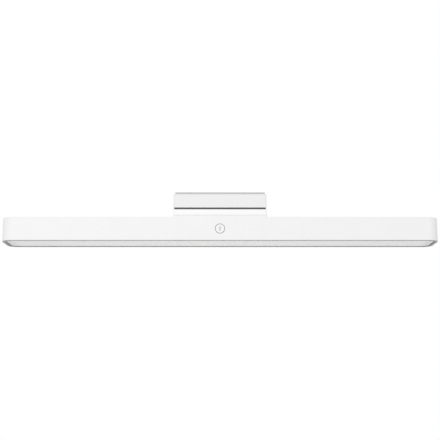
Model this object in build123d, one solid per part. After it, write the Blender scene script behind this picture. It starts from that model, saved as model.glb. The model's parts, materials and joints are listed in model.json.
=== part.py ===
"""A battery light bar on a magnetic stick-on bracket, one file per piece, in millimetres.

Origin: centre of the adhesive pad's upper face, which sticks under a shelf.
+X runs along the bar, -Y is the front with the push button, +Z is up.
"""
from build123d import *
import os

os.makedirs("parts", exist_ok=True)

# --- light bar, outside ---
BAR_LENGTH = 330.6
BAR_DEPTH = 32.3
BAR_HEIGHT = 18.15
BAR_FRONT_CORNER = 8.2      # plan radius of the two front corners
BAR_REAR_CORNER = 7.0       # plan radius of the two rear corners
BAR_TOP_EDGE = 0.8          # rounding along the top edge
BAR_WALL = 1.8
RIM = 1.0                   # wall thickness along the housing's lower edge

# --- grey frame round the diffuser ---
FRAME_LIP = 0.35            # height of the strip that shows below the housing
FRAME_INSET = 0.1           # the strip lies this far inside the housing's outline
FRAME_WIDTH = 2.1
FRAME_EDGE = 0.2            # rounding of the frame's outer lower edge

# --- bracket, from the adhesive pad down to the bar ---
PAD_THICKNESS = 1.6
PAD_INSET = 1.1             # the pad is this much smaller than the base on each side
BASE_WIDTH = 70.4
BASE_DEPTH = 24.3
BASE_HEIGHT = 10.4
REVEAL = 1.35               # dark slot between the base and the plate
PLATE_WIDTH = 70.8
PLATE_HEIGHT = 4.5
PLATE_FRONT = -12.5         # front face of the plate, the plinth and the bar
HAIRLINE = 0.08             # slit between the plate and the plinth
PLINTH_HEIGHT = 1.22
CORNER = 1.2                # plan radius of the bracket's corners
EDGE = 0.5                  # rounding of the bracket's visible edges
SEAM_EDGE = 0.12            # rounding on both sides of the slit
BASE_WALL = 1.6
BASE_ROOF = 1.8

# --- heights that follow from the stack ---
BASE_TOP = -PAD_THICKNESS
BASE_BOTTOM = BASE_TOP - BASE_HEIGHT
PLATE_TOP = BASE_BOTTOM - REVEAL
PLATE_BOTTOM = PLATE_TOP - PLATE_HEIGHT
PLINTH_TOP = PLATE_BOTTOM - HAIRLINE
BAR_TOP = PLINTH_TOP - PLINTH_HEIGHT
BAR_BOTTOM = BAR_TOP - BAR_HEIGHT
BAR_REAR = PLATE_FRONT + BAR_DEPTH
BAR_MIDDLE = (PLATE_FRONT + BAR_REAR) / 2
INNER_FRONT = PLATE_FRONT + BAR_WALL
INNER_REAR = BAR_REAR - BAR_WALL
INNER_TOP = BAR_TOP - BAR_WALL

# --- tilt hinge along the bracket's rear edge ---
BARREL_R = 2.6
HINGE_Y = 11.4
BARREL_LIFT = 0.3           # gap between the barrels and the bar's top
HINGE_Z = BAR_TOP + BARREL_R + BARREL_LIFT
PIN_R = 1.2
PIN_HALF = 29.5
PIN_CHAMFER = 0.25
RUNNING_GAP = 0.03          # radial gap between the pin and what turns on it
BUSH_R = 1.9
PLUG_LENGTH = 1.2           # plug in the outer end of each outer knuckle
CENTRE_KNUCKLE = (-10.0, 10.0)
BAR_KNUCKLES = ((-20.5, -10.5), (10.5, 20.5))
OUTER_KNUCKLES = ((-31.0, -21.0), (21.0, 31.0))
KNUCKLE_CLEARANCE = 0.4
WASHER_R = 2.4
WASHER_THICKNESS = 0.4
WASHER_GAP = 0.05           # on each side of a washer
LEAF_HALF = 33.0
LEAF_THICKNESS = 1.2
LEAF_CORNER = 1.0
LEAF_FRONT = 8.4
LEAF_REAR = 16.4
LEAF_PAD_DEPTH = 1.6        # extra housing wall under the leaf
LEAF_PAD_MARGIN = 2.0
PLINTH_CLEARANCE = 0.6      # between the plinth and the barrels
PLINTH_REAR = HINGE_Y - BARREL_R - PLINTH_CLEARANCE

# --- magnets and keeper ---
MAGNET = (16.0, 14.0, 5.5)
MAGNET_PITCH = 18.0
MAGNET_CHAMFER = 0.3
YOKE = (54.0, 16.0, 1.5)
YOKE_CHAMFER = 0.5
COVER_THICKNESS = 1.5
CARRIER = (56.0, 18.0, 5.5)
KEEPER_WIDTH = 69.0
KEEPER_FRONT = -11.5
KEEPER_REAR = 7.9
KEEPER_THICKNESS = 2.0
KEEPER_CORNER = 1.0
KEEPER_GAP = 0.1            # between the keeper and the base
KEEPER_TOP = BASE_BOTTOM - KEEPER_GAP

# --- light engine, heights above the bar's lower rim ---
GROOVE = 0.9                # gap between the frame and the diffuser
DIFFUSER_RECESS = 0.3
DIFFUSER_EDGE = 0.4         # rounding of its outer lower edge
DIFFUSER_THICKNESS = 2.0
FLANGE_LOW = 2.5
FLANGE_THICKNESS = 1.2
TRAY_ROOF_LOW = 7.5
TRAY_ROOF_TOP = 8.7
TRAY_INSET = 4.8
TRAY_WALL = 1.2
LED_BOARD = (298.0, 11.0, 1.0)
LED = (3.0, 1.4, 0.8)
LED_COUNT = 24
LED_PITCH = 12.0
LED_ROW = 2.4               # distance of each row from the board's centre line
CLEARANCE = 0.1

# --- cells and control board ---
CELL = (85.0, 24.5, 6.0)
CELL_TAPE = (70.0, 18.0, 0.5)
LEFT_CELL_X = -99.0
RIGHT_CELL_X = 106.0
CELL_Y = 3.75
BOARD_X = (-34.0, 52.0)
BOARD_Y = (-1.0, 17.0)
BOARD_LOW = 9.7
BOARD_THICKNESS = 1.2
SOCKET_X = 40.0
SOCKET = (8.94, 3.26, 7.35)  # USB-C receptacle shell: width, height, length
SOCKET_SHELL = 0.3
SOCKET_GAP = 0.3            # between the shell and the slot in the housing
SOCKET_RECESS = 0.3         # the mouth lies this far inside the rear face
SOCKET_BACK = 1.0           # thickness of the closed rear end
TONGUE = (6.7, 5.25, 0.7)   # contact tongue: width, length, thickness
CONTACT = (0.25, 3.6, 0.06)  # one contact strip on the tongue
CONTACT_COUNT = 12          # on each side of the tongue
CONTACT_PITCH = 0.5
WIRE_R = 0.6

# --- push button in the bar's front face ---
BUTTON_Z = BAR_BOTTOM + 9.1
BUTTON_HOLE_R = 3.8
BUTTON_GAP = 0.38
BUTTON_PROUD = 0.2
BUTTON_TRAVEL = 0.5
BUTTON_FLANGE_R = 5.0
BUTTON_FLANGE = 0.8
STEM_R = 1.5
MARK = (0.9, 3.4, 0.6)      # width, height and depth of the upright mark
SWITCH_BOARD_FRONT = -5.4
SWITCH_BOARD = (17.0, 10.4, 1.0)
POST_PLACES = (-6.6, 6.6)
POST_R = 1.6
SWITCH_SCREW_R = 0.8
SWITCH_SCREW_LENGTH = 4.0
SWITCH_SCREW_HEAD_R = 1.4
SWITCH_SCREW_HEAD = 0.8

# --- allowances ---
OVERCUT = 1.0               # how far a cutting shape reaches past what it cuts
SPARE = 0.05                # room round a countersunk head or a peg
CROSS_LENGTH = 1.3          # cross slot of a screw, as shares of the head's radius
CROSS_WIDTH = 0.28
CROSS_DEPTH = 0.7

SPIN = {"X": Rot(0, 90, 0), "Y": Rot(90, 0, 0), "Z": Rot(0, 0, 0)}


def block(x, y, z):
    """Box between three pairs of limits."""
    size = (x[1] - x[0], y[1] - y[0], z[1] - z[0])
    return Pos(sum(x) / 2, sum(y) / 2, sum(z) / 2) * Box(*size)


def block_at(x, y, low, size):
    """Box of the given size, centred in plan on x and y, standing on height low."""
    return Pos(x, y, low + size[2] / 2) * Box(*size)


def rod(axis, centre, radius, length):
    return Pos(*centre) * SPIN[axis] * Cylinder(radius, length)


def barrel(x, radius):
    """Cylinder about the hinge axis over the limits x."""
    return rod("X", (sum(x) / 2, HINGE_Y, HINGE_Z), radius, x[1] - x[0])


def y_rod(y, radius, x=0.0):
    """Cylinder along the button's axis, or beside it at x, between two depths."""
    return rod("Y", (x, sum(y) / 2, BUTTON_Z), radius, y[1] - y[0])


def group(pieces):
    """Several separate solids in one node."""
    return Part() + list(pieces)


def above_rim(height):
    """Height above the bar's lower rim as a model height."""
    return BAR_BOTTOM + height


def rounded_prism(x, y, z, corner):
    """Upright block with rounded vertical edges."""
    shape = block(x, y, z)
    return fillet(shape.edges().filter_by(Axis.Z), corner)


def bar_plan(inset):
    """Plan outline of the bar, drawn in by inset."""
    size = (BAR_LENGTH - 2 * inset, BAR_DEPTH - 2 * inset)
    plan = Pos(0, BAR_MIDDLE) * Rectangle(*size)
    plan = fillet(plan.vertices().group_by(Axis.Y)[0], BAR_FRONT_CORNER - inset)
    return fillet(plan.vertices().group_by(Axis.Y)[-1], BAR_REAR_CORNER - inset)


def prism(plan, low, high):
    """Plan outline raised between two heights above the bar's lower rim."""
    return Pos(0, 0, above_rim(low)) * extrude(plan, high - low)


def cross_slot(head_r):
    """Cross for a screwdriver, centred on the face that it is cut into."""
    bar = Box(CROSS_LENGTH * head_r, CROSS_WIDTH * head_r, 2 * CROSS_DEPTH)
    return bar + Rot(0, 0, 90) * bar


def flat_screw(place, points, head_r, shank_r, length, spare=0.0, cross=True):
    """Countersunk screw: flat of the head at place, shank towards +Z or -Z."""
    cone = head_r - shank_r
    screw = Pos(0, 0, -cone / 2) * Cone(shank_r + spare, head_r + spare, cone)
    screw += Pos(0, 0, -length / 2) * Cylinder(shank_r + spare, length)
    if cross:
        screw -= cross_slot(head_r)
    flip = Rot(180, 0, 0) if points > 0 else Rot(0, 0, 0)
    return Pos(*place) * flip * screw


def pan_screw(place, points, head_r, shank_r, length, head=1.2):
    """Screw with a round flat-bottomed head that bears on place."""
    screw = Pos(0, 0, head / 2) * Cylinder(head_r, head)
    screw += Pos(0, 0, -length / 2) * Cylinder(shank_r, length)
    screw -= Pos(0, 0, head) * cross_slot(head_r)
    flip = Rot(180, 0, 0) if points > 0 else Rot(0, 0, 0)
    return Pos(*place) * flip * screw


# ---------------------------------------------------------------- magnetic base

BASE_X = (-BASE_WIDTH / 2, BASE_WIDTH / 2)
BASE_Y = (-BASE_DEPTH / 2, BASE_DEPTH / 2)
BASE_SCREWS = [(x, y) for x in (-31.0, 31.0) for y in (-7.2, 7.2)]
BASE_SCREW = dict(head_r=2.2, shank_r=1.2, length=6.0)
BASE_BOSS = 5.0             # side of the square boss in each corner
BASE_HOLE = 6.2             # depth of the screw holes from the cover's face
COVER_LOW = BASE_BOTTOM
MAGNET_LOW = COVER_LOW + COVER_THICKNESS
YOKE_LOW = MAGNET_LOW + MAGNET[2]


def adhesive_pad():
    x = (BASE_X[0] + PAD_INSET, BASE_X[1] - PAD_INSET)
    y = (BASE_Y[0] + PAD_INSET, BASE_Y[1] - PAD_INSET)
    return rounded_prism(x, y, (BASE_TOP, 0), CORNER)


def base_shell():
    """Case open at the bottom, with a screw boss in each corner."""
    shell = rounded_prism(BASE_X, BASE_Y, (BASE_BOTTOM, BASE_TOP), CORNER)
    rims = shell.edges().group_by(Axis.Z)
    shell = fillet(rims[0] + rims[-1], EDGE)
    x = (BASE_X[0] + BASE_WALL, BASE_X[1] - BASE_WALL)
    y = (BASE_Y[0] + BASE_WALL, BASE_Y[1] - BASE_WALL)
    shell -= block(x, y, (BASE_BOTTOM - OVERCUT, BASE_TOP - BASE_ROOF))
    boss_height = BASE_HEIGHT - BASE_ROOF - COVER_THICKNESS
    for px, py in BASE_SCREWS:
        shell += block_at(px, py, MAGNET_LOW, (BASE_BOSS, BASE_BOSS, boss_height))
        shell -= Pos(px, py, COVER_LOW + BASE_HOLE / 2) * Cylinder(BASE_SCREW["shank_r"], BASE_HOLE)
    return shell


def base_cover():
    gap = BASE_WALL + CLEARANCE
    x = (BASE_X[0] + gap, BASE_X[1] - gap)
    y = (BASE_Y[0] + gap, BASE_Y[1] - gap)
    cover = block(x, y, (COVER_LOW, MAGNET_LOW))
    for px, py in BASE_SCREWS:
        cover -= flat_screw((px, py, COVER_LOW), 1, **BASE_SCREW, spare=SPARE, cross=False)
    return cover


def base_screws():
    return group(flat_screw((x, y, COVER_LOW), 1, **BASE_SCREW) for x, y in BASE_SCREWS)


def magnet_places():
    return (-MAGNET_PITCH, 0.0, MAGNET_PITCH)


def magnet(x):
    shape = block_at(x, 0, MAGNET_LOW, MAGNET)
    return chamfer(shape.edges(), MAGNET_CHAMFER)


def magnet_carrier():
    """Moulded frame with one pocket per magnet."""
    carrier = block_at(0, 0, MAGNET_LOW, CARRIER)
    for x in magnet_places():
        pocket = (MAGNET[0] + CLEARANCE, MAGNET[1] + CLEARANCE, MAGNET[2])
        carrier -= block_at(x, 0, MAGNET_LOW, pocket)
    return carrier


def magnet_yoke():
    shape = block_at(0, 0, YOKE_LOW, YOKE)
    return chamfer(shape.edges().filter_by(Axis.Z), YOKE_CHAMFER)


# ---------------------------------------------------------------- bracket

PLATE_X = (-PLATE_WIDTH / 2, PLATE_WIDTH / 2)
KEEPER_X = (-KEEPER_WIDTH / 2, KEEPER_WIDTH / 2)
KEEPER_SCREWS = [(x, y) for x in (-27.0, 27.0) for y in (-6.5, 4.0)]
KEEPER_SCREW = dict(head_r=2.2, shank_r=1.2, length=4.6)


def bracket_plate():
    """Plate with three hinge knuckles along its rear edge and a pocket for the keeper."""
    front_part = (PLATE_FRONT, HINGE_Y - BARREL_R - KNUCKLE_CLEARANCE)
    z = (PLATE_BOTTOM, PLATE_TOP)
    plate = block(PLATE_X, front_part, z)
    plate = fillet(plate.edges().filter_by(Axis.Z).group_by(Axis.Y)[0], CORNER)
    plate = fillet(plate.edges().group_by(Axis.Z)[-1], EDGE)
    plate = fillet(plate.edges().group_by(Axis.Z)[0], SEAM_EDGE)
    for x in (CENTRE_KNUCKLE, *OUTER_KNUCKLES):
        plate += block(x, (front_part[1] - OVERCUT, HINGE_Y), z)
        plate += barrel(x, BARREL_R)
    plate -= barrel(CENTRE_KNUCKLE, PIN_R + RUNNING_GAP)
    for x in OUTER_KNUCKLES:
        plate -= barrel(x, BUSH_R)
    gap = CLEARANCE / 2
    pocket_x = (KEEPER_X[0] - gap, KEEPER_X[1] + gap)
    pocket_y = (KEEPER_FRONT - gap, KEEPER_REAR + gap)
    plate -= block(pocket_x, pocket_y, (KEEPER_TOP - KEEPER_THICKNESS, PLATE_TOP + OVERCUT))
    for x, y in KEEPER_SCREWS:
        plate -= flat_screw((x, y, KEEPER_TOP), -1, **KEEPER_SCREW, cross=False)
    return plate


def keeper_plate():
    keeper = rounded_prism(KEEPER_X, (KEEPER_FRONT, KEEPER_REAR),
                           (KEEPER_TOP - KEEPER_THICKNESS, KEEPER_TOP), KEEPER_CORNER)
    for x, y in KEEPER_SCREWS:
        keeper -= flat_screw((x, y, KEEPER_TOP), -1, **KEEPER_SCREW, spare=SPARE, cross=False)
    return keeper


def keeper_screws():
    return group(flat_screw((x, y, KEEPER_TOP), -1, **KEEPER_SCREW) for x, y in KEEPER_SCREWS)


def friction_bushes():
    """Sleeve that grips the pin inside each outer knuckle."""
    sleeves = []
    for x in OUTER_KNUCKLES:
        side = 1 if x[0] > 0 else -1
        span = (x[0], x[1] - PLUG_LENGTH) if side > 0 else (x[0] + PLUG_LENGTH, x[1])
        sleeves.append(barrel(span, BUSH_R) - barrel(span, PIN_R + RUNNING_GAP))
    return group(sleeves)


def hinge_plugs():
    left, right = OUTER_KNUCKLES
    ends = ((left[0], left[0] + PLUG_LENGTH), (right[1] - PLUG_LENGTH, right[1]))
    return group(barrel(x, BUSH_R) for x in ends)


# ---------------------------------------------------------------- hinge side of the bar

LEAF_SCREWS = [(x, 14.0) for x in (-29.0, -5.5, 5.5, 29.0)]
LEAF_SCREW = dict(head_r=1.9, shank_r=1.0, length=2.6)


def hinge_leaf():
    """Metal leaf let into the bar's top, with the bar's two knuckles."""
    leaf = block((-LEAF_HALF, LEAF_HALF), (LEAF_FRONT, LEAF_REAR),
                 (BAR_TOP - LEAF_THICKNESS, BAR_TOP))
    leaf = fillet(leaf.edges().filter_by(Axis.Z), LEAF_CORNER)
    for x in BAR_KNUCKLES:
        leaf += block(x, (HINGE_Y - BARREL_R, HINGE_Y + BARREL_R), (BAR_TOP - LEAF_THICKNESS, HINGE_Z))
        leaf += barrel(x, BARREL_R)
        leaf -= barrel(x, PIN_R)
    for x, y in LEAF_SCREWS:
        leaf -= flat_screw((x, y, BAR_TOP), -1, **LEAF_SCREW, spare=SPARE, cross=False)
    return leaf


def hinge_leaf_screws():
    return group(flat_screw((x, y, BAR_TOP), -1, **LEAF_SCREW) for x, y in LEAF_SCREWS)


def hinge_pin():
    return chamfer(barrel((-PIN_HALF, PIN_HALF), PIN_R).edges(), PIN_CHAMFER)


def hinge_washers():
    """Thin washer in each gap between neighbouring knuckles."""
    pieces = []
    for low, high in BAR_KNUCKLES:
        for face, side in ((low, -1), (high, 1)):
            near = face + side * WASHER_GAP
            x = sorted((near, near + side * WASHER_THICKNESS))
            pieces.append(barrel(x, WASHER_R) - barrel(x, PIN_R + RUNNING_GAP))
    return group(pieces)


# ---------------------------------------------------------------- bar housing

TRAY_SCREWS = [(-152.5, BAR_MIDDLE), (152.5, BAR_MIDDLE)]
TRAY_SCREWS += [(x, y) for x in (-47.0, 58.5) for y in (-4.3, 11.6)]
TRAY_SCREW = dict(head_r=2.1, shank_r=1.2, length=6.0, head=1.0)
BOSS_R = 2.5


def bar_housing():
    """White case of the bar, open underneath, with the plinth that meets the bracket."""
    shell = prism(bar_plan(0), FRAME_LIP, BAR_HEIGHT)
    shell = fillet(shell.edges().group_by(Axis.Z)[-1], BAR_TOP_EDGE)
    shell = fillet(shell.edges().group_by(Axis.Z)[0], SEAM_EDGE)
    shell += plinth()
    shell -= prism(bar_plan(BAR_WALL), -OVERCUT, BAR_HEIGHT - BAR_WALL)
    shell -= prism(bar_plan(RIM), -OVERCUT, FLANGE_LOW + FLANGE_THICKNESS)
    shell += leaf_pad()
    shell -= leaf_pocket()
    shell += inner_bosses()
    shell -= boss_holes()
    shell += switch_posts()
    shell -= y_rod((PLATE_FRONT - OVERCUT, INNER_FRONT + OVERCUT), BUTTON_HOLE_R)
    return shell - socket_slot()


def plinth():
    """Low step that fills the space between the bar and the plate, flush with both fronts."""
    step = block(PLATE_X, (PLATE_FRONT, PLINTH_REAR), (BAR_TOP - BAR_WALL, PLINTH_TOP))
    step = fillet(step.edges().filter_by(Axis.Z).group_by(Axis.Y)[0], CORNER)
    return fillet(step.edges().group_by(Axis.Z)[-1], SEAM_EDGE)


def leaf_pad():
    """Thicker roof that the hinge leaf is screwed to."""
    half = LEAF_HALF + LEAF_PAD_MARGIN
    return block((-half, half), (LEAF_FRONT - LEAF_PAD_MARGIN, INNER_REAR),
                 (INNER_TOP - LEAF_PAD_DEPTH, INNER_TOP))


def leaf_pocket():
    gap = CLEARANCE / 2
    pocket = block((-LEAF_HALF - gap, LEAF_HALF + gap), (LEAF_FRONT - gap, LEAF_REAR + gap),
                   (BAR_TOP - LEAF_THICKNESS, BAR_TOP + OVERCUT))
    pocket = fillet(pocket.edges().filter_by(Axis.Z), LEAF_CORNER)
    for x, y in LEAF_SCREWS:
        pocket += flat_screw((x, y, BAR_TOP), -1, **LEAF_SCREW, cross=False)
    return pocket


def inner_bosses():
    low = above_rim(TRAY_ROOF_TOP)
    return group(Pos(x, y, (low + INNER_TOP) / 2) * Cylinder(BOSS_R, INNER_TOP - low)
                 for x, y in TRAY_SCREWS)


def boss_holes():
    depth = TRAY_SCREW["length"]
    low = above_rim(TRAY_ROOF_TOP)
    return group(Pos(x, y, low + depth / 2) * Cylinder(TRAY_SCREW["shank_r"], depth)
                 for x, y in TRAY_SCREWS)


def switch_posts():
    """Two posts behind the front wall that carry the switch board."""
    post = (INNER_FRONT, SWITCH_BOARD_FRONT)
    bore = (SWITCH_BOARD_FRONT - SWITCH_SCREW_LENGTH, SWITCH_BOARD_FRONT)
    return group(y_rod(post, POST_R, x) - y_rod(bore, SWITCH_SCREW_R, x) for x in POST_PLACES)


def socket_height():
    return above_rim(BOARD_LOW + BOARD_THICKNESS + SOCKET[1] / 2)


def socket_slot():
    """Slot in the rear wall around the charging socket."""
    outline = SlotOverall(SOCKET[0] + 2 * SOCKET_GAP, SOCKET[1] + 2 * SOCKET_GAP)
    slot = extrude(outline, BAR_WALL + 2 * OVERCUT)
    return Pos(SOCKET_X, BAR_REAR + OVERCUT, socket_height()) * Rot(90, 0, 0) * slot


# ---------------------------------------------------------------- light engine

PEG_X = (-140.0, -84.0, -28.0, 28.0, 84.0, 140.0)
PEG_R = 0.7
PEG_OFFSET = 0.6            # from half way between the housing's and the tray's wall
NOTCH_HALF = 9.6            # half the notch's width
NOTCH_BACK = -3.4            # depth at which the tray's notch ends


def diffuser():
    """Opal panel that closes the underside, with pegs into the tray's flange."""
    low = DIFFUSER_RECESS
    high = low + DIFFUSER_THICKNESS
    panel = prism(bar_plan(FRAME_INSET + FRAME_WIDTH + GROOVE), low, high)
    panel = fillet(panel.edges().group_by(Axis.Z)[0], DIFFUSER_EDGE)
    peg_height = FLANGE_LOW + FLANGE_THICKNESS - high
    for x, y in flange_pegs():
        panel += Pos(x, y, above_rim(high + peg_height / 2)) * Cylinder(PEG_R, peg_height)
    return panel


def diffuser_frame():
    """Grey ring below the housing's edge, with a rib that stands inside its wall."""
    ring = prism(bar_plan(FRAME_INSET), 0, FRAME_LIP)
    ring = fillet(ring.edges().group_by(Axis.Z)[0], FRAME_EDGE)
    ring += prism(bar_plan(RIM + CLEARANCE / 2), FRAME_LIP, FLANGE_LOW)
    return ring - prism(bar_plan(FRAME_INSET + FRAME_WIDTH), -OVERCUT, FLANGE_LOW + OVERCUT)


def flange_pegs():
    """Peg places, in the flange between the tray's wall and the housing."""
    inset = (BAR_WALL + TRAY_INSET) / 2 + PEG_OFFSET
    return [(x, y) for x in PEG_X for y in (PLATE_FRONT + inset, BAR_REAR - inset)]


def tray_plan(inset):
    """Plan of the tray's raised box, with a notch for the push button."""
    plan = bar_plan(TRAY_INSET + inset)
    half = NOTCH_HALF + inset
    back = NOTCH_BACK + inset
    front = PLATE_FRONT
    return plan - Pos(0, (front + back) / 2) * Rectangle(2 * half, back - front)


def light_tray():
    """White reflector tray: a flange over the diffuser and a raised box over the lamps."""
    tray = prism(bar_plan(RIM + CLEARANCE), FLANGE_LOW, FLANGE_LOW + FLANGE_THICKNESS)
    tray += prism(tray_plan(0), FLANGE_LOW, TRAY_ROOF_TOP)
    tray -= prism(tray_plan(TRAY_WALL), FLANGE_LOW - OVERCUT, TRAY_ROOF_LOW)
    for x, y in BOARD_SCREWS:
        stand = (BOARD_STAND, BOARD_STAND, BOARD_LOW - TRAY_ROOF_LOW)
        tray += block_at(x, y, above_rim(TRAY_ROOF_LOW), stand)
        tray -= hole(x, y, TRAY_ROOF_LOW, BOARD_SCREW["shank_r"], BOARD_LOW - TRAY_ROOF_LOW)
    for x, y in TRAY_SCREWS:
        tray -= hole(x, y, TRAY_ROOF_LOW, TRAY_SCREW["shank_r"] + CLEARANCE, TRAY_WALL)
    for x, y in flange_pegs():
        tray -= hole(x, y, FLANGE_LOW, PEG_R + SPARE, FLANGE_THICKNESS)
    for x, y in header_places():
        tray -= hole(x, y, TRAY_ROOF_LOW, HEADER_R + HEADER_GAP, TRAY_WALL)
    return tray


def hole(x, y, low, radius, depth):
    """Upright cutting cylinder through what lies between low and low + depth."""
    return Pos(x, y, above_rim(low + depth / 2)) * Cylinder(radius, depth + 2 * OVERCUT)


def tray_screws():
    low = above_rim(TRAY_ROOF_LOW)
    return group(pan_screw((x, y, low), 1, **TRAY_SCREW) for x, y in TRAY_SCREWS)


LED_BOARD_LOW = TRAY_ROOF_LOW - LED_BOARD[2]
LED_LOW = LED_BOARD_LOW - LED[2]
HEADER_R = 0.4
HEADER_GAP = 0.4            # round each pin in the tray's roof
HEADER_X = -28.0
HEADER_PITCH = 2.54
HEADER_COUNT = 4


def led_board():
    return block_at(0, BAR_MIDDLE, above_rim(LED_BOARD_LOW), LED_BOARD)


def led_row(side):
    """One row of lamps; warm and cool lamps lie on opposite sides of the centre line."""
    start = -LED_PITCH * (LED_COUNT - 1) / 2
    y = BAR_MIDDLE + side * LED_ROW
    return group(block_at(start + i * LED_PITCH, y, above_rim(LED_LOW), LED)
                 for i in range(LED_COUNT))


def header_places():
    return [(HEADER_X + HEADER_PITCH * i, BAR_MIDDLE) for i in range(HEADER_COUNT)]


def led_header_pins():
    """Pins that join the lamp board to the control board through the tray's roof."""
    low = above_rim(TRAY_ROOF_LOW)
    high = above_rim(BOARD_LOW)
    return group(Pos(x, y, (low + high) / 2) * Cylinder(HEADER_R, high - low)
                 for x, y in header_places())


# ---------------------------------------------------------------- cells and control board

BOARD_SCREWS = [(x, y) for x in (-31.0, 49.0) for y in (1.5, 14.5)]
BOARD_SCREW = dict(head_r=1.7, shank_r=0.9, length=2.8, head=0.9)
BOARD_TOP = BOARD_LOW + BOARD_THICKNESS
BOARD_CORNER = 1.0
BOARD_STAND = 4.0           # side of the tray's stand-off under each screw
CELL_EDGE = 1.8             # rounding of a pouch's long edges
CHIP_CHAMFER = 0.2
CONTROLLER = (7.0, 7.0, 1.2)
CONTROLLER_PLACE = (-8.0, 6.0)
CHARGER = (5.0, 4.0, 1.0)
CHARGER_PLACE = (28.0, 12.5)
INDUCTOR = (6.0, 6.0, 2.6)
INDUCTOR_PLACE = (8.0, 8.0)
INDUCTOR_CORNER = 1.2
CAPACITOR = (1.6, 0.8, 0.8)
CAPACITOR_COLUMNS = (-2.0, 16.0, 22.0)
CAPACITOR_ROWS = (1.5, 4.5, 14.0)
CONNECTOR = (5.0, 6.4, 3.0)
CONNECTOR_Y = 7.0
CONNECTOR_INSET = 3.5       # from the board's end to the connector's centre
WIRE_SPLIT = 1.5            # each wire lies this far from the connector's centre


def cell(x):
    """Flat lithium cell in a foil pouch with rounded long edges."""
    shape = block_at(x, CELL_Y, above_rim(TRAY_ROOF_TOP + CELL_TAPE[2]), CELL)
    return fillet(shape.edges().filter_by(Axis.X), CELL_EDGE)


def cell_tapes():
    low = above_rim(TRAY_ROOF_TOP)
    return group(block_at(x, CELL_Y, low, CELL_TAPE) for x in (LEFT_CELL_X, RIGHT_CELL_X))


def control_board():
    z = (above_rim(BOARD_LOW), above_rim(BOARD_TOP))
    board = block(BOARD_X, BOARD_Y, z)
    board = fillet(board.edges().filter_by(Axis.Z), BOARD_CORNER)
    for x, y in BOARD_SCREWS:
        board -= hole(x, y, BOARD_LOW, BOARD_SCREW["shank_r"] + CLEARANCE, BOARD_THICKNESS)
    return board


def board_screws():
    z = above_rim(BOARD_TOP)
    return group(pan_screw((x, y, z), -1, **BOARD_SCREW) for x, y in BOARD_SCREWS)


def on_board(x, y, size):
    return block_at(x, y, above_rim(BOARD_TOP), size)


def chip(place, size):
    """Chip package with bevelled upper edges."""
    body = on_board(*place, size)
    return chamfer(body.edges().group_by(Axis.Z)[-1], CHIP_CHAMFER)


def driver_inductor():
    """Moulded power inductor with rounded corners."""
    shape = on_board(*INDUCTOR_PLACE, INDUCTOR)
    return fillet(shape.edges().filter_by(Axis.Z), INDUCTOR_CORNER)


def small_capacitors():
    return group(on_board(x, y, CAPACITOR) for x in CAPACITOR_COLUMNS for y in CAPACITOR_ROWS)


def cell_connectors():
    return group(on_board(x, CONNECTOR_Y, CONNECTOR) for x in connector_places())


def connector_places():
    return (BOARD_X[0] + CONNECTOR_INSET, BOARD_X[1] - CONNECTOR_INSET)


def cell_wires(side):
    """One straight lead from each cell to its connector."""
    y = CONNECTOR_Y + side * WIRE_SPLIT
    z = above_rim(BOARD_TOP + CONNECTOR[2] / 2)
    left, right = connector_places()
    half = CELL[0] / 2
    spans = ((LEFT_CELL_X + half, left - CONNECTOR[0] / 2),
             (right + CONNECTOR[0] / 2, RIGHT_CELL_X - half))
    return group(rod("X", (sum(x) / 2, y, z), WIRE_R, x[1] - x[0]) for x in spans)


def usb_socket():
    """Receptacle shell with its mouth just inside the rear wall."""
    width, height, length = SOCKET
    shell = extrude(SlotOverall(width, height), length)
    bore = SlotOverall(width - 2 * SOCKET_SHELL, height - 2 * SOCKET_SHELL)
    shell -= extrude(bore, length - SOCKET_BACK)
    return Pos(SOCKET_X, BAR_REAR - SOCKET_RECESS, socket_height()) * Rot(90, 0, 0) * shell


def usb_tongue():
    """Contact tongue that stands out from the shell's closed end."""
    root = BAR_REAR - SOCKET_RECESS - SOCKET[2] + SOCKET_BACK
    low = socket_height() - TONGUE[2] / 2
    return block_at(SOCKET_X, root + TONGUE[1] / 2, low, TONGUE)


def usb_contacts():
    """A row of strips on the upper and on the lower face of the tongue."""
    root = BAR_REAR - SOCKET_RECESS - SOCKET[2] + SOCKET_BACK
    start = SOCKET_X - CONTACT_PITCH * (CONTACT_COUNT - 1) / 2
    lows = (socket_height() + TONGUE[2] / 2, socket_height() - TONGUE[2] / 2 - CONTACT[2])
    return group(block_at(start + i * CONTACT_PITCH, root + CONTACT[1] / 2, low, CONTACT)
                 for low in lows for i in range(CONTACT_COUNT))


# ---------------------------------------------------------------- push button

CAP_FRONT = PLATE_FRONT - BUTTON_PROUD
FLANGE_FRONT = INNER_FRONT + SPARE
FLANGE_BACK = FLANGE_FRONT + BUTTON_FLANGE
SWITCH = (3.6, 3.6, 1.6)
PLUNGER_R = 0.9
PLUNGER_OUT = 0.5
STEM_END = SWITCH_BOARD_FRONT - SWITCH[2] - PLUNGER_OUT - BUTTON_TRAVEL - CLEARANCE
CAP_EDGE = 0.3
DOME_R = 2.6                # inner radius of the silicone ring
DOME_WALL = 0.9
RIBBON = (6.0, 5.0, 0.3)


def button_mark():
    """Upright mark with round ends, let into the cap's face."""
    width, height, depth = MARK
    outline = extrude(SlotOverall(height, width), depth)
    return Pos(0, CAP_FRONT + depth, BUTTON_Z) * Rot(90, 0, 0) * Rot(0, 0, 90) * outline


def button_cap():
    """Round cap with a flange that stops against the inside of the front wall."""
    cap = y_rod((CAP_FRONT, FLANGE_FRONT), BUTTON_HOLE_R - BUTTON_GAP)
    cap = fillet(cap.edges().group_by(Axis.Y)[0], CAP_EDGE)
    cap += y_rod((FLANGE_FRONT, FLANGE_BACK), BUTTON_FLANGE_R)
    cap += y_rod((FLANGE_BACK, STEM_END), STEM_R)
    return cap - button_mark()


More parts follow.
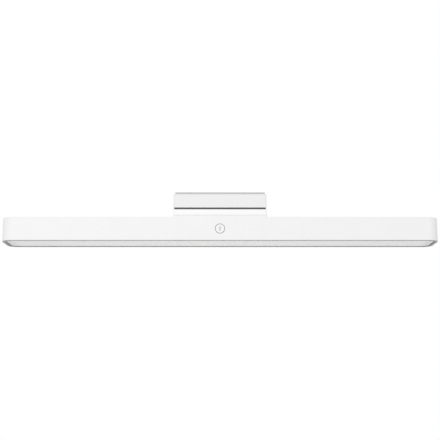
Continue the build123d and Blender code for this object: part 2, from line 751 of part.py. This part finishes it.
def return_dome():
    """Silicone ring that pushes the cap back out."""
    y = (FLANGE_BACK, SWITCH_BOARD_FRONT)
    return y_rod(y, DOME_R + DOME_WALL) - y_rod(y, DOME_R)


def tact_switch():
    y = (SWITCH_BOARD_FRONT - SWITCH[2], SWITCH_BOARD_FRONT)
    half_x = SWITCH[0] / 2
    half_z = SWITCH[1] / 2
    body = block((-half_x, half_x), y, (BUTTON_Z - half_z, BUTTON_Z + half_z))
    return body + y_rod((y[0] - PLUNGER_OUT, y[0]), PLUNGER_R)


def switch_board():
    half_x = SWITCH_BOARD[0] / 2
    half_z = SWITCH_BOARD[1] / 2
    y = (SWITCH_BOARD_FRONT, SWITCH_BOARD_FRONT + SWITCH_BOARD[2])
    board = block((-half_x, half_x), y, (BUTTON_Z - half_z, BUTTON_Z + half_z))
    for x in POST_PLACES:
        board -= y_rod(y, SWITCH_SCREW_R + CLEARANCE, x)
    return board


def switch_screws():
    """Two small screws through the switch board into the housing's posts."""
    back = SWITCH_BOARD_FRONT + SWITCH_BOARD[2]
    head = (back, back + SWITCH_SCREW_HEAD)
    shank = (back - SWITCH_SCREW_LENGTH, back)
    return group(y_rod(head, SWITCH_SCREW_HEAD_R, x) + y_rod(shank, SWITCH_SCREW_R, x)
                 for x in POST_PLACES)


def switch_ribbon():
    """Flat cable from the switch board to the control board."""
    start = SWITCH_BOARD_FRONT + SWITCH_BOARD[2]
    return block_at(0, start + RIBBON[1] / 2, above_rim(BOARD_TOP), RIBBON)


NODES = {
    "adhesive_pad": adhesive_pad(),
    "base_shell": base_shell(),
    "base_cover": base_cover(),
    "base_screws": base_screws(),
    "magnet_carrier": magnet_carrier(),
    "magnet_yoke": magnet_yoke(),
    "bracket_plate": bracket_plate(),
    "keeper_plate": keeper_plate(),
    "keeper_screws": keeper_screws(),
    "friction_bushes": friction_bushes(),
    "hinge_plugs": hinge_plugs(),
    "hinge_leaf": hinge_leaf(),
    "hinge_leaf_screws": hinge_leaf_screws(),
    "hinge_pin": hinge_pin(),
    "hinge_washers": hinge_washers(),
    "bar_housing": bar_housing(),
    "diffuser": diffuser(),
    "diffuser_frame": diffuser_frame(),
    "light_tray": light_tray(),
    "tray_screws": tray_screws(),
    "led_board": led_board(),
    "warm_leds": led_row(-1),
    "cool_leds": led_row(1),
    "led_header_pins": led_header_pins(),
    "cell_left": cell(LEFT_CELL_X),
    "cell_right": cell(RIGHT_CELL_X),
    "cell_tapes": cell_tapes(),
    "control_board": control_board(),
    "board_screws": board_screws(),
    "controller_chip": chip(CONTROLLER_PLACE, CONTROLLER),
    "charger_chip": chip(CHARGER_PLACE, CHARGER),
    "driver_inductor": driver_inductor(),
    "small_capacitors": small_capacitors(),
    "cell_connectors": cell_connectors(),
    "positive_wires": cell_wires(1),
    "negative_wires": cell_wires(-1),
    "usb_socket": usb_socket(),
    "usb_tongue": usb_tongue(),
    "usb_contacts": usb_contacts(),
    "button_cap": button_cap(),
    "button_mark": button_mark(),
    "return_dome": return_dome(),
    "tact_switch": tact_switch(),
    "switch_board": switch_board(),
    "switch_screws": switch_screws(),
    "switch_ribbon": switch_ribbon(),
}
NODES |= {f"magnet_{i + 1}": magnet(x) for i, x in enumerate(magnet_places())}

for name, shape in NODES.items():
    export_step(shape, f"parts/{name}.step")
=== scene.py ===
"""Looks of the cordless light bar: materials for every piece, the foam pad, the studio and the camera."""
import json
import math

import bmesh
import bpy
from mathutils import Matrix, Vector


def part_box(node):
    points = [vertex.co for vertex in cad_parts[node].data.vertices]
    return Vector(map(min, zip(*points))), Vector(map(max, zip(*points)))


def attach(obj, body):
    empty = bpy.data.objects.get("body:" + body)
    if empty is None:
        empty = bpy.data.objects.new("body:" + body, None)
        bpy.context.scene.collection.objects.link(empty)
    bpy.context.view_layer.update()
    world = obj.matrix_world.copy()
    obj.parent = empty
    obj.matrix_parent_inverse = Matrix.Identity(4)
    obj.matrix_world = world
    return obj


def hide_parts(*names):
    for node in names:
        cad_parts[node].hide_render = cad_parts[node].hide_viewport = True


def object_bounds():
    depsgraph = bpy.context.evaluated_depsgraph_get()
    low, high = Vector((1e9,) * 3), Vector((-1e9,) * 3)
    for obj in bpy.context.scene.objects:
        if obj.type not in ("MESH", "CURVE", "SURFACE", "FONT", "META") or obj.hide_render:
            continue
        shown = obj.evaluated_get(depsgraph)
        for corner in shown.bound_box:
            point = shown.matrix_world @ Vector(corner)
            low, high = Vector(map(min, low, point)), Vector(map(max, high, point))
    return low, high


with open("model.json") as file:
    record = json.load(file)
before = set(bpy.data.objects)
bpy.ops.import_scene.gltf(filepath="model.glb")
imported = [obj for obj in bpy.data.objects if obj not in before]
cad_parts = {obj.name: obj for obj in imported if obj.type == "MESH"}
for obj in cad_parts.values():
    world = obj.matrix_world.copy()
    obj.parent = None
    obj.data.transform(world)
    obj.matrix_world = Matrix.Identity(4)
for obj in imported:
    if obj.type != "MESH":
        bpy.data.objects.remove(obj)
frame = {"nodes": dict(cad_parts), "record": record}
cad_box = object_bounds()

MM = 0.001

# --- camera: below and in front of the bar, looking up at it ---
CAMERA_PITCH = math.radians(10.6)
CAMERA_DISTANCE = 0.743         # from the middle of the bar's front face
CAMERA_RISE = 0.00625           # how far the view's centre lies above that middle
VIEW_WIDTH = 0.3314             # width of the view at that distance
SENSOR_WIDTH = 36.0             # millimetres
CLIP_START = 0.01

# --- studio ---
FLOOR_DROP = 0.80               # the floor lies this far below the part
FLOOR_SIZE = 11.0
SKY_LIGHT = 0.75                # strength of the white surroundings as light
FLOOR_WHITE = (0.86, 0.86, 0.86)
FLOOR_ROUGHNESS = 0.8
KEY_PLACE = (-0.45, -1.2, 0.55)     # places of the lamps, from the middle of the bar's front face
FILL_PLACE = (0.5, -1.4, 0.1)
BOUNCE_PLACE = (0, 0.05, -0.3)
KEY_POWER = 18.5                # watts
FILL_POWER = 5.9
BOUNCE_POWER = 0.44             # low light under the bar, for the opal panel
LAMP_RADIUS = 0.45              # radius of the key and the fill
BOUNCE_RADIUS = 0.10

# --- shapes ---
LEAF_THICKNESS = 1.2 * MM       # the hinge leaf is let into the bar's top by its own thickness
SHARP_ANGLE = math.radians(35)  # edges sharper than this stay sharp


# ---------------------------------------------------------------- materials

class Look:
    """A node material: one Principled shader and the textures that feed it."""

    def __init__(self, name, color, roughness, metallic=0.0):
        self.material = bpy.data.materials.new(name)
        self.material.use_nodes = True
        self.nodes = self.material.node_tree.nodes
        self.links = self.material.node_tree.links
        self.shader = self.nodes["Principled BSDF"]
        self.color = color
        self.roughness = roughness
        self.shader.inputs["Base Color"].default_value = (*color, 1.0)
        self.shader.inputs["Roughness"].default_value = roughness
        self.shader.inputs["Metallic"].default_value = metallic
        self.place = self.nodes.new("ShaderNodeTexCoord").outputs["Object"]
        self.height = None

    def set(self, **sockets):
        """Sets constant values on the shader's own sockets."""
        for name, value in sockets.items():
            self.shader.inputs[name.replace("_", " ")].default_value = value
        return self

    def stretched(self, stretch):
        """Object coordinates scaled along each axis."""
        mapping = self.nodes.new("ShaderNodeMapping")
        mapping.inputs["Scale"].default_value = stretch
        self.links.new(self.place, mapping.inputs["Vector"])
        return mapping.outputs["Vector"]

    def noise(self, size, detail=2.0, stretch=(1, 1, 1)):
        """Noise with features of about the given size in metres."""
        node = self.nodes.new("ShaderNodeTexNoise")
        node.inputs["Scale"].default_value = 1.0 / size
        node.inputs["Detail"].default_value = detail
        self.links.new(self.stretched(stretch), node.inputs["Vector"])
        return node.outputs["Fac"]

    def cells(self, size, feature="F1"):
        """Voronoi cells of about the given size in metres."""
        node = self.nodes.new("ShaderNodeTexVoronoi")
        node.feature = feature
        node.inputs["Scale"].default_value = 1.0 / size
        self.links.new(self.place, node.inputs["Vector"])
        return node.outputs["Distance"]

    def ramp(self, value, low, high, start=0.3, end=0.7):
        """Maps a texture value onto colours between two positions."""
        node = self.nodes.new("ShaderNodeValToRGB")
        node.color_ramp.elements[0].position = start
        node.color_ramp.elements[0].color = (*low, 1.0)
        node.color_ramp.elements[1].position = end
        node.color_ramp.elements[1].color = (*high, 1.0)
        self.links.new(value, node.inputs["Fac"])
        return node.outputs["Color"]

    def span(self, value, low, high):
        """Maps a texture value onto numbers from low to high."""
        node = self.nodes.new("ShaderNodeMapRange")
        node.inputs["From Min"].default_value = 0.3
        node.inputs["From Max"].default_value = 0.7
        node.inputs["To Min"].default_value = low
        node.inputs["To Max"].default_value = high
        self.links.new(value, node.inputs["Value"])
        return node.outputs["Result"]

    def tint(self, value, shade):
        """Varies the base colour between itself and itself times shade."""
        darker = tuple(channel * shade for channel in self.color)
        self.links.new(self.ramp(value, darker, self.color), self.shader.inputs["Base Color"])
        return self

    def near_ends(self, reach, half_length):
        """Rises from 0 to 1 over the given reach before x = half_length, on both sides."""
        split = self.nodes.new("ShaderNodeSeparateXYZ")
        self.links.new(self.place, split.inputs["Vector"])
        away = self.nodes.new("ShaderNodeMath")
        away.operation = "ABSOLUTE"
        self.links.new(split.outputs["X"], away.inputs[0])
        rise = self.nodes.new("ShaderNodeMapRange")
        rise.interpolation_type = "SMOOTHSTEP"
        rise.inputs["From Min"].default_value = half_length - reach
        rise.inputs["From Max"].default_value = half_length
        self.links.new(away.outputs["Value"], rise.inputs["Value"])
        return rise.outputs["Result"]

    def darken(self, value, shade):
        """Multiplies the colour so far by shade where value is 1, and by 1 where it is 0."""
        base = self.shader.inputs["Base Color"]
        mix = self.nodes.new("ShaderNodeMix")
        mix.data_type = "RGBA"
        mix.blend_type = "MULTIPLY"
        mix.inputs[0].default_value = 1.0
        self.links.new(base.links[0].from_socket, mix.inputs[6])
        self.links.new(self.ramp(value, (1, 1, 1), (shade, shade, shade), 0.0, 1.0), mix.inputs[7])
        self.links.new(mix.outputs[2], base)
        return self

    def polish(self, value, spread):
        """Varies the roughness about its own value."""
        result = self.span(value, self.roughness - spread, self.roughness + spread)
        self.links.new(result, self.shader.inputs["Roughness"])
        return self

    def relief(self, value, depth, strength=1.0):
        """Adds bump of the given depth in metres on top of any bump so far."""
        node = self.nodes.new("ShaderNodeBump")
        node.inputs["Distance"].default_value = depth
        node.inputs["Strength"].default_value = strength
        self.links.new(value, node.inputs["Height"])
        if self.height is not None:
            self.links.new(self.height, node.inputs["Normal"])
        self.height = node.outputs["Normal"]
        self.links.new(self.height, self.shader.inputs["Normal"])
        return self


def moulded(name, color, roughness, grain=0.3 * MM, depth=0.035 * MM):
    """Moulded plastic: spark-eroded grain in height and in tone, the tone partly painted shade of the
    grain's tiny shadows; a slow wave and patchy sheen.
    """
    look = Look(name, color, roughness)
    look.relief(look.noise(40 * MM, 1.0), 0.05 * MM, 0.4)
    look.relief(look.noise(grain, 3.0), depth)
    look.tint(look.noise(18 * MM, 4.0), 0.985)
    # grain tone that also paints the grain's tiny shadows: darker where the grain stands higher
    look.darken(look.noise(grain, 3.0), 0.95)
    look.polish(look.noise(6 * MM, 5.0), 0.035)
    return look


def brushed(name, color, roughness, stretch=(0.02, 1, 1), size=0.12 * MM):
    """Metal brushed along the axis whose stretch is smallest."""
    look = Look(name, color, roughness, metallic=1.0)
    lines = look.noise(size, 3.0, stretch)
    look.relief(lines, 0.012 * MM)
    look.polish(lines, 0.10)
    look.tint(look.noise(9 * MM, 4.0), 0.93)
    return look


def painted(name, color, roughness):
    """Baked enamel on steel: faint orange peel and dust-fine specks."""
    look = Look(name, color, roughness)
    look.relief(look.noise(1.5 * MM, 2.0), 0.02 * MM)
    look.relief(look.noise(0.15 * MM, 2.0), 0.003 * MM)
    look.tint(look.noise(0.6 * MM, 4.0), 0.85)
    look.polish(look.noise(4 * MM, 4.0), 0.05)
    return look


def foam():
    """Closed-cell foam: pits of half a millimetre with painted shade in them, rough all over."""
    look = Look("pad_foam", (0.62, 0.62, 0.62), 0.9)
    cells = look.cells(0.45 * MM)
    look.relief(cells, 0.09 * MM)
    # painted shade: the pits are darkened where the bump sinks them
    look.tint(cells, 0.86)
    return look


OPAL_END_REACH = 9 * MM         # painted shade darkens the panel over this length at each end
OPAL_END_PAINTED_SHADE = 0.78
OPAL_SCATTER = 2.5 * MM         # how far light spreads inside the panel


def opal():
    """Opal acrylic: light spreads under a satin skin, less so over the tray's end walls, where the
    panel's ends get painted shade.
    """
    look = moulded("opal_panel", (0.955, 0.955, 0.95), 0.34, grain=0.2 * MM, depth=0.012 * MM)
    _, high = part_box("diffuser")
    # painted shade: the panel's ends are darkened, for the dimmer light over the tray's end walls
    look.darken(look.near_ends(OPAL_END_REACH, high.x), OPAL_END_PAINTED_SHADE)
    look.set(Subsurface_Weight=0.35, Subsurface_Scale=OPAL_SCATTER)
    look.shader.inputs["Subsurface Radius"].default_value = (1.0, 1.0, 1.0)
    return look


def cell_foil():
    """Aluminium laminate pouch with shallow dents."""
    look = Look("cell_foil", (0.74, 0.75, 0.77), 0.33, metallic=1.0)
    look.relief(look.noise(7 * MM, 2.0), 0.12 * MM)
    look.polish(look.noise(2 * MM, 4.0), 0.06)
    look.tint(look.noise(20 * MM, 3.0), 0.94)
    return look


def circuit_board():
    """Solder mask over copper: broad lighter fields with a fine weave."""
    look = Look("green_board", (0.06, 0.30, 0.15), 0.30)
    copper = look.cells(4 * MM, "DISTANCE_TO_EDGE")
    look.links.new(look.ramp(copper, (0.02, 0.15, 0.07), look.color, 0.05, 0.09),
                   look.shader.inputs["Base Color"])
    look.relief(copper, 0.03 * MM)
    look.relief(look.noise(0.3 * MM, 2.0), 0.006 * MM)
    return look


def lamp(name, phosphor):
    """Lamp package: glossy phosphor with a fine grain."""
    look = Look(name, phosphor, 0.22)
    look.tint(look.noise(0.25 * MM, 4.0), 0.82)
    look.relief(look.noise(0.5 * MM, 2.0), 0.02 * MM)
    return look


def rubbery(name, color, roughness):
    """Rubber, silicone and wire sleeves: fine pitting and uneven shade."""
    look = Look(name, color, roughness)
    look.relief(look.noise(0.5 * MM, 3.0), 0.02 * MM)
    look.tint(look.noise(5 * MM, 3.0), 0.9)
    return look


LOOKS = {
    "white_shell": moulded("white_shell", (0.91, 0.91, 0.91), 0.42),
    # soft_white: a darker copy of the white plastic, painted shade for the base
    "soft_white": moulded("soft_white", (0.87, 0.87, 0.87), 0.48),
    # bright_white: a lighter copy of the white plastic, painted light for the bracket plate, whose faces
    # turn up to the light
    "bright_white": moulded("bright_white", (0.97, 0.97, 0.97), 0.38),
    # light_grey: the frame round the opal panel; its grey is kept dark so it also paints the shade of the
    # rim's shadow lines
    "light_grey": moulded("light_grey", (0.40, 0.40, 0.40), 0.5),
    # black_steel: black enamel on the keeper plate, also painting the shade in the reveal between base
    # and bracket
    "black_steel": painted("black_steel", (0.07, 0.07, 0.072), 0.5),
    "grey_plastic": moulded("grey_plastic", (0.30, 0.31, 0.33), 0.55),
    "plain_steel": brushed("plain_steel", (0.56, 0.56, 0.57), 0.36),
    "magnet_plating": brushed("magnet_plating", (0.72, 0.71, 0.68), 0.22, (1, 1, 1), 1.2 * MM),
    "screw_steel": brushed("screw_steel", (0.55, 0.55, 0.56), 0.30, (1, 1, 1), 0.3 * MM),
    "pin_steel": brushed("pin_steel", (0.75, 0.75, 0.76), 0.16),
    "acetal": moulded("acetal", (0.80, 0.79, 0.74), 0.38),
    "opal_panel": opal(),
    "white_reflector": moulded("white_reflector", (0.93, 0.93, 0.93), 0.25),
    "board_aluminium": brushed("board_aluminium", (0.86, 0.86, 0.87), 0.38),
    "warm_phosphor": lamp("warm_phosphor", (0.90, 0.62, 0.20)),
    "cool_phosphor": lamp("cool_phosphor", (0.85, 0.82, 0.40)),
    "contact_brass": brushed("contact_brass", (0.83, 0.66, 0.32), 0.2, (1, 1, 1), 0.4 * MM),
    "cell_foil": cell_foil(),
    "foam_tape": rubbery("foam_tape", (0.07, 0.07, 0.075), 0.85),
    "green_board": circuit_board(),
    "chip_black": moulded("chip_black", (0.035, 0.035, 0.04), 0.5),
    "capacitor_tan": moulded("capacitor_tan", (0.50, 0.38, 0.24), 0.4),
    "connector_white": moulded("connector_white", (0.84, 0.83, 0.77), 0.4),
    "wire_red": rubbery("wire_red", (0.55, 0.04, 0.03), 0.4),
    "wire_black": rubbery("wire_black", (0.02, 0.02, 0.02), 0.4),
    "socket_steel": brushed("socket_steel", (0.66, 0.66, 0.67), 0.25),
    "silicone": rubbery("silicone", (0.78, 0.78, 0.77), 0.5),
    "ribbon_tan": moulded("ribbon_tan", (0.60, 0.33, 0.10), 0.25),
    "mark_grey": moulded("mark_grey", (0.50, 0.50, 0.51), 0.35),
}


def dress(piece, look):
    """Gives a piece one material."""
    piece.data.materials.clear()
    piece.data.materials.append(look.material)


def dress_cad_nodes():
    """Gives each CAD node the material of its slot in the record."""
    for part in frame["record"]["subparts"]:
        slot = part["material_slot"]
        if slot in LOOKS:       # the foam pad's slot is dressed with its own piece
            dress(frame["nodes"][part["node"]], LOOKS[slot])


# ---------------------------------------------------------------- foam pad

def add_mesh(name, mesh):
    """Turns a finished bmesh into an object with smooth faces and sharp edges."""
    data = bpy.data.meshes.new(name)
    mesh.to_mesh(data)
    mesh.free()
    piece = bpy.data.objects.new(name, data)
    bpy.context.scene.collection.objects.link(piece)
    data.shade_smooth()
    data.set_sharp_from_angle(angle=SHARP_ANGLE)
    return piece


PAD_RINGS = 8                   # steps from the lower skin to the upper one
PAD_CORNER = 1.2 * MM
PAD_CORNER_STEPS = 8
PAD_PINCH = 0.12 * MM           # the skins hold the foam in, so its edge bulges by this much


def rounded_outline(low, high, corner, inset):
    """Points round a rectangle with rounded corners, drawn in by inset."""
    radius = corner - inset
    points = []
    for sx, sy, start in ((1, 1, 0), (-1, 1, 90), (-1, -1, 180), (1, -1, 270)):
        centre_x = (high.x - corner) if sx > 0 else (low.x + corner)
        centre_y = (high.y - corner) if sy > 0 else (low.y + corner)
        for step in range(PAD_CORNER_STEPS + 1):
            angle = math.radians(start + 90 * step / PAD_CORNER_STEPS)
            points.append((centre_x + radius * math.cos(angle), centre_y + radius * math.sin(angle)))
    return points


def foam_pad():
    """Foam tape between two flat skins: its edge swells between them."""
    low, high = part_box("adhesive_pad")
    mesh = bmesh.new()
    rings = []
    for ring in range(PAD_RINGS + 1):
        share = ring / PAD_RINGS
        inset = PAD_PINCH * (1 - math.sin(math.pi * share))
        z = low.z + (high.z - low.z) * share
        outline = rounded_outline(low, high, PAD_CORNER, inset)
        rings.append([mesh.verts.new((x, y, z)) for x, y in outline])
    for lower, upper in zip(rings, rings[1:]):
        for i in range(len(lower)):
            j = (i + 1) % len(lower)
            mesh.faces.new((lower[i], lower[j], upper[j], upper[i]))
    mesh.faces.new(reversed(rings[0]))
    mesh.faces.new(rings[-1])
    piece = add_mesh("foam_pad", mesh)
    dress(piece, foam())
    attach(piece, "magnetic_base")
    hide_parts("adhesive_pad")


# ---------------------------------------------------------------- studio and camera

def floor():
    """Plain pale floor far below the part."""
    low, _ = cad_box
    mesh = bmesh.new()
    bmesh.ops.create_grid(mesh, x_segments=1, y_segments=1, size=FLOOR_SIZE / 2)
    piece = add_mesh("floor", mesh)
    piece.location.z = low[2] - FLOOR_DROP
    dress(piece, Look("floor_white", FLOOR_WHITE, FLOOR_ROUGHNESS))


def surroundings():
    """White surroundings: full white to the camera, weaker as light."""
    world = bpy.data.worlds.new("studio")
    bpy.context.scene.world = world
    world.use_nodes = True
    nodes = world.node_tree.nodes
    links = world.node_tree.links
    background = nodes["Background"]
    background.inputs["Color"].default_value = (1.0, 1.0, 1.0, 1.0)
    seen = nodes.new("ShaderNodeLightPath").outputs["Is Camera Ray"]
    strength = nodes.new("ShaderNodeMapRange")
    strength.inputs["To Min"].default_value = SKY_LIGHT
    strength.inputs["To Max"].default_value = 1.0
    links.new(seen, strength.inputs["Value"])
    links.new(strength.outputs["Result"], background.inputs["Strength"])


def soft_light(name, place, power, radius):
    """Glowing ball that the camera doesn't see."""
    data = bpy.data.lights.new(name, "POINT")
    data.shadow_soft_size = radius
    data.energy = power
    light = bpy.data.objects.new(name, data)
    bpy.context.scene.collection.objects.link(light)
    light.location = place
    light.visible_camera = False


def lights(face):
    """Key and fill in front of the bar and a weak lamp below it."""
    soft_light("key", face + Vector(KEY_PLACE), KEY_POWER, LAMP_RADIUS)
    soft_light("fill", face + Vector(FILL_PLACE), FILL_POWER, LAMP_RADIUS)
    soft_light("bounce", face + Vector(BOUNCE_PLACE), BOUNCE_POWER, BOUNCE_RADIUS)


def camera(face):
    """Camera that sees the bar from below its front face's middle."""
    ahead = Vector((0, math.cos(CAMERA_PITCH), math.sin(CAMERA_PITCH)))
    above = Vector((0, -math.sin(CAMERA_PITCH), math.cos(CAMERA_PITCH)))
    data = bpy.data.cameras.new("camera")
    data.sensor_width = SENSOR_WIDTH
    data.lens = data.sensor_width * CAMERA_DISTANCE / VIEW_WIDTH
    data.clip_start = CLIP_START
    eye = bpy.data.objects.new("camera", data)
    bpy.context.scene.collection.objects.link(eye)
    eye.location = face - ahead * CAMERA_DISTANCE + above * CAMERA_RISE
    eye.rotation_euler = (math.radians(90) + CAMERA_PITCH, 0, 0)
    bpy.context.scene.camera = eye


def front_face_middle():
    """Middle of the bar's front face, from the housing's box without its plinth."""
    low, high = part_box("bar_housing")
    leaf_low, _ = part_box("hinge_leaf")
    top = leaf_low.z + LEAF_THICKNESS
    return Vector((0, low.y, (low.z + top) / 2))


def main():
    bpy.context.scene.view_settings.view_transform = "Standard"
    dress_cad_nodes()
    foam_pad()
    floor()
    surroundings()
    face = front_face_middle()
    lights(face)
    camera(face)


main()
